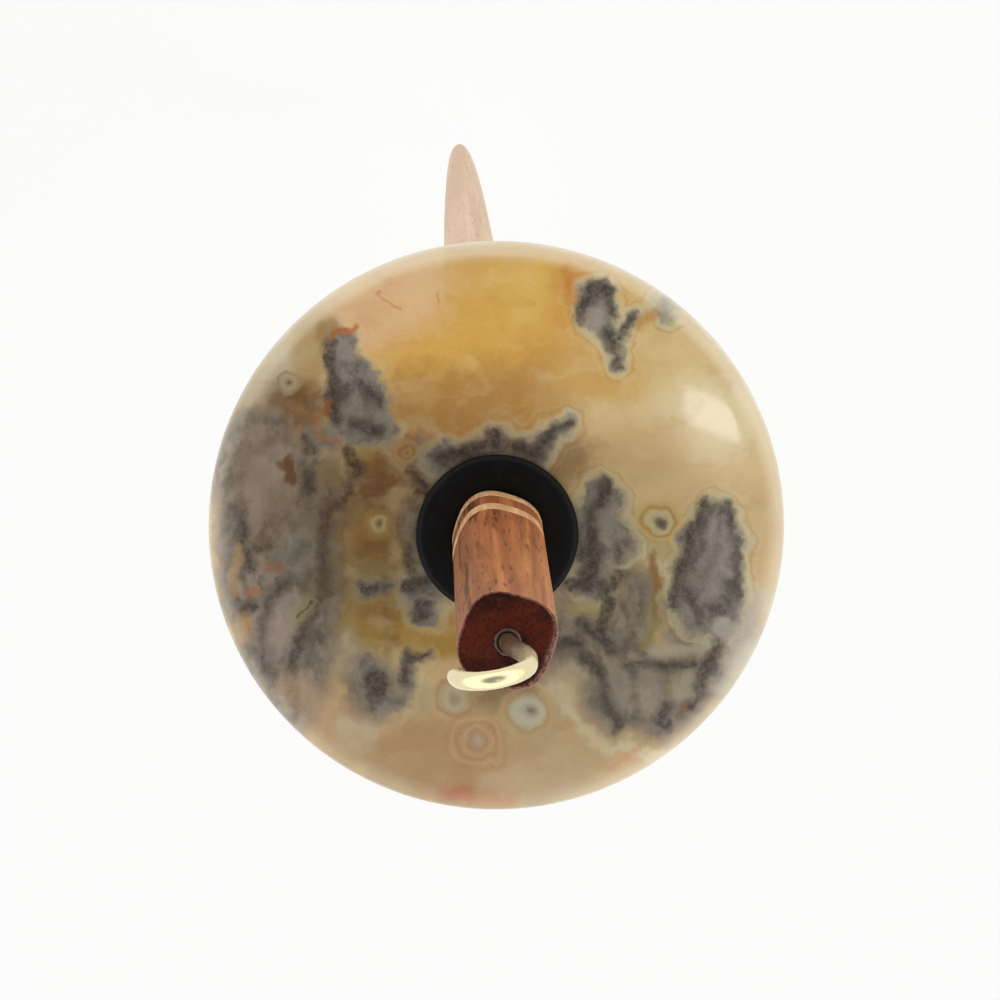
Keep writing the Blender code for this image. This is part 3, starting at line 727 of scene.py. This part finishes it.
def head_wood():
    """Oiled red-brown wood with open pores; dark on its end grain, paler where its edge is rubbed."""
    g = Graph("red_head_wood")
    place = g.object_space()
    normal = g.split(g.object_normal())
    pores = g.add("Attribute")
    pores.attribute_name = "pore"
    pore = pores.outputs["Fac"]

    grain = g.noise(g.mapping(place, scale=(1300, 1300, 60)), 1.0, 5.0, 0.65, 0.5)
    bands = g.noise(g.mapping(place, scale=(330, 330, 14)), 1.0, 3.0, 0.55, 1.5)
    flecks = g.noise(g.mapping(place, scale=(3800, 3800, 420)), 1.0, 2.0, 0.55)
    streaks = g.noise(g.mapping(place, (3.0, 1.0, 0.0), scale=(620, 620, 34)), 1.0, 3.0, 0.6, 0.8)
    side = g.mix(g.step(grain, 0.28, 0.72), (140, 78, 46), (176, 112, 70))
    side = g.over(side, bands, 0.42, 0.66, 0.6, (196, 128, 80))
    side = g.over(side, bands, 0.48, 0.30, 0.6, (140, 76, 52))
    # Painted shade: the head's left side is painted duller and darker, as if less lit. The same mask also
    # makes the dark streaks stronger there.
    across = g.split(g.mapping(place, turn=(0, 0, VIEW_ROLL)))[0]
    left = g.step(across, -0.0006, -0.0036)
    side = g.mix(g.math("MULTIPLY", left, 0.6), side, (116, 74, 58))
    upper = g.step(g.split(place)[2], -0.030, -0.050)
    dark_share = g.math("MULTIPLY_ADD", left, 0.55, g.math("MULTIPLY_ADD", upper, 0.25, 0.12))
    dark_share = g.math("MULTIPLY", g.step(streaks, 0.50, 0.60), dark_share)
    side = g.mix(dark_share, side, (44, 30, 26))
    side = g.over(side, flecks, 0.60, 0.74, 0.6, (92, 50, 30))

    dots = g.cells(g.mapping(place, scale=(2900, 2900, 900)), 1.0)
    speckle = g.noise(g.mapping(place, scale=(2600, 2600, 800)), 1.0, 3.0, 0.65)
    warm = g.step(g.noise(g.mapping(place, scale=(260, 260, 60)), 1.0, 2.0), 0.38, 0.62)
    end = g.mix(warm, (38, 12, 6), (74, 25, 8))
    end = g.over(end, speckle, 0.5, 0.75, 0.6, (84, 40, 28))
    end = g.over(end, dots, 0.42, 0.14, 0.75, (22, 8, 5))
    rubbed = g.mix(g.step(speckle, 0.35, 0.65), (84, 44, 32), (124, 84, 68))
    rubbed = g.over(rubbed, dots, 0.42, 0.14, 0.8, (44, 20, 14))
    colour = g.mix(g.step(normal[2], 0.10, 0.45), side, rubbed)
    colour = g.mix(g.step(normal[2], 0.80, 0.97), colour, end)
    colour = g.mix(g.math("MULTIPLY", pore, 0.85), colour, (44, 22, 14))
    rough = g.math("MULTIPLY_ADD", grain, 0.2, 0.26)
    g.set(
        Base_Color=colour,
        Roughness=g.math("MULTIPLY_ADD", pore, 0.3, rough),
        Specular_IOR_Level=0.12,
    )
    height = g.math("SUBTRACT", g.math("MULTIPLY", grain, 0.6), flecks)
    dents = g.step(dots, 0.34, 0.12)
    on_end = g.step(normal[2], 0.3, 0.9, 0.0, -0.6)
    g.bump(g.math("MULTIPLY_ADD", dents, on_end, height), 0.00005, 0.5)
    return g.material


def brass():
    g = Graph("hook_brass")
    place = g.object_space()
    drawn = g.noise(g.mapping(place, scale=(2600, 2600, 700)), 1.0, 4.0, 0.6)
    tarnish = g.noise(place, 420.0, 4.0, 0.65)
    colour = g.mix(g.step(tarnish, 0.48, 0.78, 0.0, 0.7), (0.78, 0.70, 0.42, 1.0), (0.46, 0.38, 0.17, 1.0))
    # Painted shade: the shank is painted darker and browner towards its root in the wood
    painted_root_shade = g.step(g.split(place)[2], -4.5 * MM, -9.0 * MM, 0.0, 0.9)
    colour = g.mix(painted_root_shade, colour, (0.24, 0.145, 0.085, 1.0))
    g.set(
        Base_Color=colour,
        Metallic=0.8,
        Roughness=g.step(tarnish, 0.35, 0.8, 0.22, 0.34),
    )
    g.bump(drawn, 0.00001, 0.06)
    return g.material


def glue():
    g = Graph("dried_glue")
    place = g.object_space()
    haze = g.noise(place, 1500.0, 4.0, 0.6)
    g.set(
        Base_Color=g.mix(g.step(haze, 0.35, 0.7), (66, 38, 30), (104, 80, 70)),
        Roughness=g.step(haze, 0.3, 0.8, 0.22, 0.5),
        Transmission_Weight=0.35,
        IOR=1.46,
    )
    g.bump(haze, 0.00004, 0.5)
    return g.material


def rubber():
    g = Graph("black_grommet_rubber")
    place = g.object_space()
    pits = g.noise(place, 2600.0, 4.0, 0.65)
    dust = g.noise(place, 520.0, 5.0, 0.7)
    colour = g.mix(g.step(dust, 0.5, 0.8, 0.0, 0.5), (6, 6, 7), (22, 25, 32))
    g.set(
        Base_Color=colour,
        Roughness=g.step(pits, 0.3, 0.7, 0.40, 0.58),
        Specular_IOR_Level=0.12,
    )
    g.bump(pits, 0.00003, 0.6)
    return g.material


# Shapes

def wrapped(name, rings, close_ends, sharp=40.0):
    """A skin over closed rings of points that all have the same number of points.

    With close_ends the first and last rings are filled; without, the last ring joins the first.
    """
    count = len(rings[0])
    points = [point for ring in rings for point in ring]
    faces = []
    spans = len(rings) if not close_ends else len(rings) - 1
    for r in range(spans):
        low, high = r * count, (r + 1) % len(rings) * count
        for i in range(count):
            after = (i + 1) % count
            faces.append((low + i, low + after, high + after, high + i))
    if close_ends:
        faces.append(tuple(range(count - 1, -1, -1)))
        top = (len(rings) - 1) * count
        faces.append(tuple(range(top, top + count)))
    mesh = bpy.data.meshes.new(name)
    mesh.from_pydata(points, [], faces)
    mesh.validate()
    mesh.shade_smooth()
    mesh.set_sharp_from_angle(angle=math.radians(sharp))
    piece = bpy.data.objects.new(name, mesh)
    bpy.context.scene.collection.objects.link(piece)
    return piece


def around(count):
    """Angles of evenly spaced points round a circle."""
    return [math.tau * i / count for i in range(count)]


def polar(radius, angle, z):
    return radius * math.cos(angle), radius * math.sin(angle), z


def circle(radius, z, count):
    return [polar(radius, angle, z) for angle in around(count)]


def unevenness(angle, waves, height):
    """A smooth random value from -1 to 1 that changes round a piece and along it."""
    return noise.noise(Vector((math.cos(angle) * waves, math.sin(angle) * waves, height)))


def fit(piece, material, body, node):
    piece.data.materials.append(material)
    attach(piece, body)
    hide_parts(node)


def arc(centre, radii, start, end, steps):
    points = []
    for i in range(steps + 1):
        angle = start + (end - start) * i / steps
        points.append((centre[0] + radii[0] * math.cos(angle), centre[1] + radii[1] * math.sin(angle)))
    return points


def make_stone(material):
    """The ring's section, swept round: domed front, flat back, rounded rim and rounded bore mouths."""
    profile = []
    mouth_r = STONE_BORE_R + BORE_ROUND_R
    mouth_z = STONE_HALF - BORE_ROUND_H
    profile += arc((mouth_r, mouth_z), (BORE_ROUND_R, BORE_ROUND_H), math.pi, math.pi / 2, 12)
    dome_steps = 26
    for i in range(dome_steps):
        share = i / dome_steps
        radius = DOME_START_R + (RIM_START_R - DOME_START_R) * share
        profile.append((radius, STONE_HALF - DOME_DROP * share**2))
    rim_top = STONE_HALF - DOME_DROP
    rim_middle = (rim_top - STONE_HALF) / 2
    rim_half = (rim_top + STONE_HALF) / 2
    dome_slope = 2 * DOME_DROP / (RIM_START_R - DOME_START_R)
    rim_steps = 32
    for i in range(rim_steps + 1):
        angle = math.pi / 2 - math.pi * i / rim_steps
        c, s = math.cos(angle), math.sin(angle)
        across = abs(c) ** (2 / RIM_SQUARENESS)
        along = math.copysign(abs(s) ** (2 / RIM_SQUARENESS), s)
        ease = dome_slope * (STONE_R - RIM_START_R) * across * (1.0 - across)
        height = rim_middle + rim_half * along - ease * max(0.0, s)
        profile.append((RIM_START_R + (STONE_R - RIM_START_R) * across, height))
    for i in range(1, 8):
        profile.append((RIM_START_R + (mouth_r - RIM_START_R) * i / 8, -STONE_HALF))
    profile += arc((mouth_r, -mouth_z), (BORE_ROUND_R, BORE_ROUND_H), -math.pi / 2, -math.pi, 12)
    rings = []
    for r, z in reversed(profile):
        inside = r - SKIN if r > mouth_r else r + SKIN
        rings.append(circle(inside, WHORL_Z + z * FLAT_SKIN, STONE_POINTS))
    stone = wrapped("agate_whorl", rings, False, 60.0)
    fit(stone, material, "whorl", "whorl_stone")


def make_grommet(material):
    """Grommet with a dished flange on each side, following the stone's bore one gap inside it."""
    bore_r = SHAFT_R + 0.04 * MM
    edge_centre = (FLANGE_R - FLANGE_EDGE_R, FLANGE_TOP - FLANGE_EDGE_R)
    dish = edge_centre[0] - bore_r
    upper = []
    for i in range(14):
        share = i / 14
        upper.append((bore_r + dish * share, FLANGE_TOP - FLANGE_DISH * (1.0 - share) ** 2))
    upper += arc(edge_centre, (FLANGE_EDGE_R, FLANGE_EDGE_R), math.pi / 2, math.radians(-60), 14)
    mouth = (STONE_BORE_R + BORE_ROUND_R, STONE_HALF - BORE_ROUND_H)
    groove = (BORE_ROUND_R + RUBBER_GAP, BORE_ROUND_H + RUBBER_GAP)
    upper += arc(mouth, groove, math.radians(105), math.pi, 10)
    profile = upper + [(r, -z) for r, z in reversed(upper)]
    rings = []
    for r, z in reversed(profile):
        ring = []
        for angle in around(GROMMET_POINTS):
            swell = unevenness(angle, 2.0, z * 400.0)
            reach = r - SKIN * (2.0 + 1.5 * swell) if r > bore_r + SKIN else r
            ring.append(polar(reach, angle, WHORL_Z + z * FLAT_SKIN))
        rings.append(ring)
    grommet = wrapped("grommet", rings, False, 60.0)
    fit(grommet, material, "grommet", "rubber_grommet")


def squared_radius(height, angle):
    """Distance from the axis to the laminated end's side, as in the CAD."""
    along = (height - SHOULDER) / (HEAD_TO_WHORL - SHOULDER)
    half_width = HALF_WIDTH_AT_SHOULDER + (HALF_WIDTH_AT_END - HALF_WIDTH_AT_SHOULDER) * along
    power = SQUARENESS_AT_SHOULDER + (SQUARENESS_AT_END - SQUARENESS_AT_SHOULDER) * along
    c = abs(math.cos(angle - SQUARE_TURN))
    s = abs(math.sin(angle - SQUARE_TURN))
    return half_width * (c**power + s**power) ** (-1.0 / power)


def side_ring(height, inset=0.0):
    """One cross-section, slightly uneven as sanded by hand."""
    ring = []
    for angle in around(SIDE_POINTS):
        sanding = unevenness(angle, 1.3, height * 160.0)
        radius = squared_radius(height, angle) - inset - 0.02 * MM - 0.018 * MM * sanding
        ring.append(polar(radius, angle, WHORL_Z + height))
    return ring


def make_ring(name, below, high, node, material):
    """One ring, a glue line above the piece below it."""
    low = below + GLUE_LINE
    bevel = 0.03 * MM
    outer = [side_ring(low, bevel), side_ring(low + bevel), side_ring((low + high) / 2)]
    outer += [side_ring(high - bevel), side_ring(high, bevel)]
    inner = TENON_R + 0.05 * MM
    rings = outer + [circle(inner, WHORL_Z + high, SIDE_POINTS), circle(inner, WHORL_Z + low, SIDE_POINTS)]
    ring = wrapped(name, rings, False)
    fit(ring, material, "spindle", node)


def pore_marks():
    """Open pores on the head's side: angle, height, length and width of each, in metres."""
    draw = random.Random(11)
    marks = []
    for _ in range(150):
        angle = draw.uniform(0.0, math.tau)
        height = draw.uniform(FRONT_RING_TOP + 1.0 * MM, HEAD_TO_WHORL - 1.5 * MM)
        length = draw.uniform(0.5, 1.7) * MM
        width = draw.uniform(0.09, 0.17) * MM
        marks.append((angle, height, length, width, draw.uniform(0.5, 1.0)))
    return marks


def make_head(material):
    """Head with its open pores sunk into the side, a worn end edge, and both blind bores."""
    low = FRONT_RING_TOP + GLUE_LINE
    high = HEAD_TO_WHORL
    marks = pore_marks()
    rows = 190
    side_top = high - 1.2 * MM
    rings = []
    pores = []
    no_pores = [0.0] * SIDE_POINTS
    tenon_r = TENON_R + 0.05 * MM
    tenon_end = FRONT_RING_TOP + TENON_IN_HEAD + 0.3 * MM
    for radius, height in ((tenon_r, tenon_end), (tenon_r, low)):
        rings.append(circle(radius, WHORL_Z + height, SIDE_POINTS))
        pores.append(no_pores)
    rings.append(side_ring(low, 0.03 * MM))
    pores.append(no_pores)
    for row in range(rows + 1):
        height = low + 0.03 * MM + (side_top - low) * row / rows
        near = [mark for mark in marks if abs(mark[1] - height) < mark[2]]
        ring = []
        depths = []
        for x, y, z in side_ring(height):
            radius = math.hypot(x, y)
            angle = math.atan2(y, x)
            depth = 0.0
            for pore_angle, pore_height, length, width, strength in near:
                off = (angle - pore_angle + math.pi) % math.tau - math.pi
                across = abs(off) * radius / width
                if across < 1.0:
                    along = (height - pore_height) / length
                    depth = max(depth, strength * max(0.0, 1.0 - across**2) * max(0.0, 1.0 - along**2))
            depths.append(depth)
            scale = 1.0 - 0.07 * MM * depth / radius
            ring.append((x * scale, y * scale, z))
        rings.append(ring)
        pores.append(depths)
    roll_steps = 14
    for step in range(roll_steps + 1):
        turn = math.pi / 2 * step / roll_steps
        ring = []
        for x, y, z in side_ring(high):
            radius = math.hypot(x, y)
            angle = math.atan2(y, x)
            roll = EDGE_ROLL + WORN_ROLL * max(0.0, math.cos(angle - WORN_SIDE)) ** 2
            scale = 1.0 - roll * (1.0 - math.cos(turn)) / radius
            ring.append((x * scale, y * scale, z - roll * (1.0 - math.sin(turn))))
        rings.append(ring)
        pores.append(no_pores)
    edge_ring = rings[-1]
    bore_r = WIRE_R + 0.03 * MM
    face_steps = 26
    for step in range(1, face_steps + 1):
        share = step / face_steps
        ring = []
        for angle, (x, y, z) in zip(around(SIDE_POINTS), edge_ring):
            goal = Vector(polar(bore_r, angle, z))
            place = Vector((x, y, z)).lerp(goal, share)
            dip = noise.noise(Vector((place.x, place.y, 0.0)) * 900.0) + 1.0
            place.z -= 0.02 * MM * dip * (1.0 - share) * min(1.0, 4.0 * share)
            ring.append(tuple(place))
        rings.append(ring)
        pores.append(no_pores)
    rings.append(circle(bore_r, WHORL_Z + high - SHANK_IN_HEAD - 0.05 * MM, SIDE_POINTS))
    pores.append(no_pores)
    head = wrapped("head_block", rings, True)
    attribute = head.data.attributes.new("pore", "FLOAT", "POINT")
    attribute.data.foreach_set("value", [depth for row in pores for depth in row])
    fit(head, material, "spindle", "head")


def make_shaft(material):
    """Long tapered shaft, a little uneven, with its tenon and blunt point."""
    profile = [(TENON_R, FRONT_RING_TOP + TENON_IN_HEAD), (TENON_R, SHOULDER), (SHAFT_R - SKIN, SHOULDER)]
    steps = 120
    for i in range(steps + 1):
        share = math.sin(math.pi / 2 * i / steps)
        radius = (SHAFT_R - SKIN) * max(0.0, 1.0 - share**TAPER_LENGTH_POWER) ** TAPER_RADIUS_POWER
        profile.append((max(radius, 0.05 * MM), -WHORL_TO_TIP * share))
    rings = []
    for r, z in reversed(profile):
        ring = []
        for angle in around(ROUND_POINTS):
            wave = unevenness(angle, 1.0, z * 90.0)
            reach = r * (1.0 - 0.004 * (1.0 + wave))
            ring.append(polar(reach, angle, WHORL_Z + z))
        rings.append(ring)
    shaft = wrapped("tapered_shaft", rings, True)
    fit(shaft, material, "spindle", "shaft")


def hook_path():
    """Centreline of the hook, from the shank's buried end to its free end, in the XZ plane."""
    base = HEAD_HIGH.z
    points = [(0.0, base - SHANK_IN_HEAD), (0.0, base - 1.0 * MM)]
    sway_steps = 40
    for i in range(sway_steps + 1):
        share = i / sway_steps
        points.append((SHANK_SWAY * share * share * (3.0 - 2.0 * share), base + SWAY_HEIGHT * share))
    crook_x = SHANK_SWAY - CROOK_HALF_WIDTH
    seat_share = crook_x / (CROOK_HALF_WIDTH - WIRE_R)
    crook_z = -(CROOK_RISE - WIRE_R) * math.sqrt(1.0 - seat_share**2)
    crook_steps = 72
    for i in range(crook_steps + 1):
        angle = CROOK_SWEEP * i / crook_steps
        points.append((crook_x + CROOK_HALF_WIDTH * math.cos(angle), crook_z + CROOK_RISE * math.sin(angle)))
    return points


def make_hook(material):
    """Bent wire with a filed, rounded free end and faint flats left by the pliers."""
    path = hook_path()
    places = [(x, z, 1.0) for x, z in path]
    (ax, az), (bx, bz) = path[-2], path[-1]
    length = math.hypot(bx - ax, bz - az)
    heading = ((bx - ax) / length, (bz - az) / length)
    for i in range(1, 11):
        reach = math.sin(math.pi / 2 * i / 10.5)
        width = math.sqrt(1.0 - reach**2)
        places.append((bx + heading[0] * WIRE_R * reach, bz + heading[1] * WIRE_R * reach, width))
    rings = []
    for k, (x, z, width) in enumerate(places):
        x0, z0, _ = places[max(0, k - 1)]
        x1, z1, _ = places[min(len(places) - 1, k + 1)]
        step = math.hypot(x1 - x0, z1 - z0)
        along = ((x1 - x0) / step, (z1 - z0) / step)
        side = (along[1], -along[0])
        ring = []
        for angle in around(WIRE_POINTS):
            mark = unevenness(angle, 1.0, k * 0.16)
            radius = (WIRE_R - 0.012 * MM * (1.0 + mark)) * width
            out, over = radius * math.cos(angle), radius * math.sin(angle)
            ring.append((x + side[0] * out, over, z + side[1] * out))
        rings.append(ring)
    hook = wrapped("brass_hook", rings, True)
    fit(hook, material, "spindle", "yarn_hook")


def make_glue(material):
    """Uneven bead of dried glue round the wire, thicker on one side."""
    low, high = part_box("hook_glue")
    outer = (high.x - low.x) / 2
    inner = WIRE_R + 0.02 * MM
    steps = 14
    rings = []
    for step in range(steps + 1):
        turn = math.pi * step / steps
        ring = []
        for angle in around(ROUND_POINTS):
            lump = 0.5 + 0.5 * unevenness(angle, 1.6, 3.0)
            reach = outer * (0.86 + 0.13 * lump)
            middle, half = (inner + reach) / 2, (reach - inner) / 2
            radius = middle + half * math.cos(turn)
            z = low.z + (high.z - low.z) * (0.55 + 0.42 * lump) * math.sin(turn) ** 0.7
            ring.append(polar(radius, angle, z))
        rings.append(ring)
    bead = wrapped("glue_bead", rings, False, 60.0)
    fit(bead, material, "spindle", "hook_glue")


make_camera()
make_stage()
make_lights()
red = head_wood()
pale = inlay_wood()
make_stone(agate())
make_grommet(rubber())
make_shaft(shaft_wood())
make_ring("rear_pale_ring", SHOULDER, REAR_RING_TOP, "rear_inlay_ring", pale)
make_ring("red_band", REAR_RING_TOP, ACCENT_BAND_TOP, "accent_band", red)
make_ring("front_pale_ring", ACCENT_BAND_TOP, FRONT_RING_TOP, "front_inlay_ring", pale)
make_head(red)
make_hook(brass())
make_glue(glue())
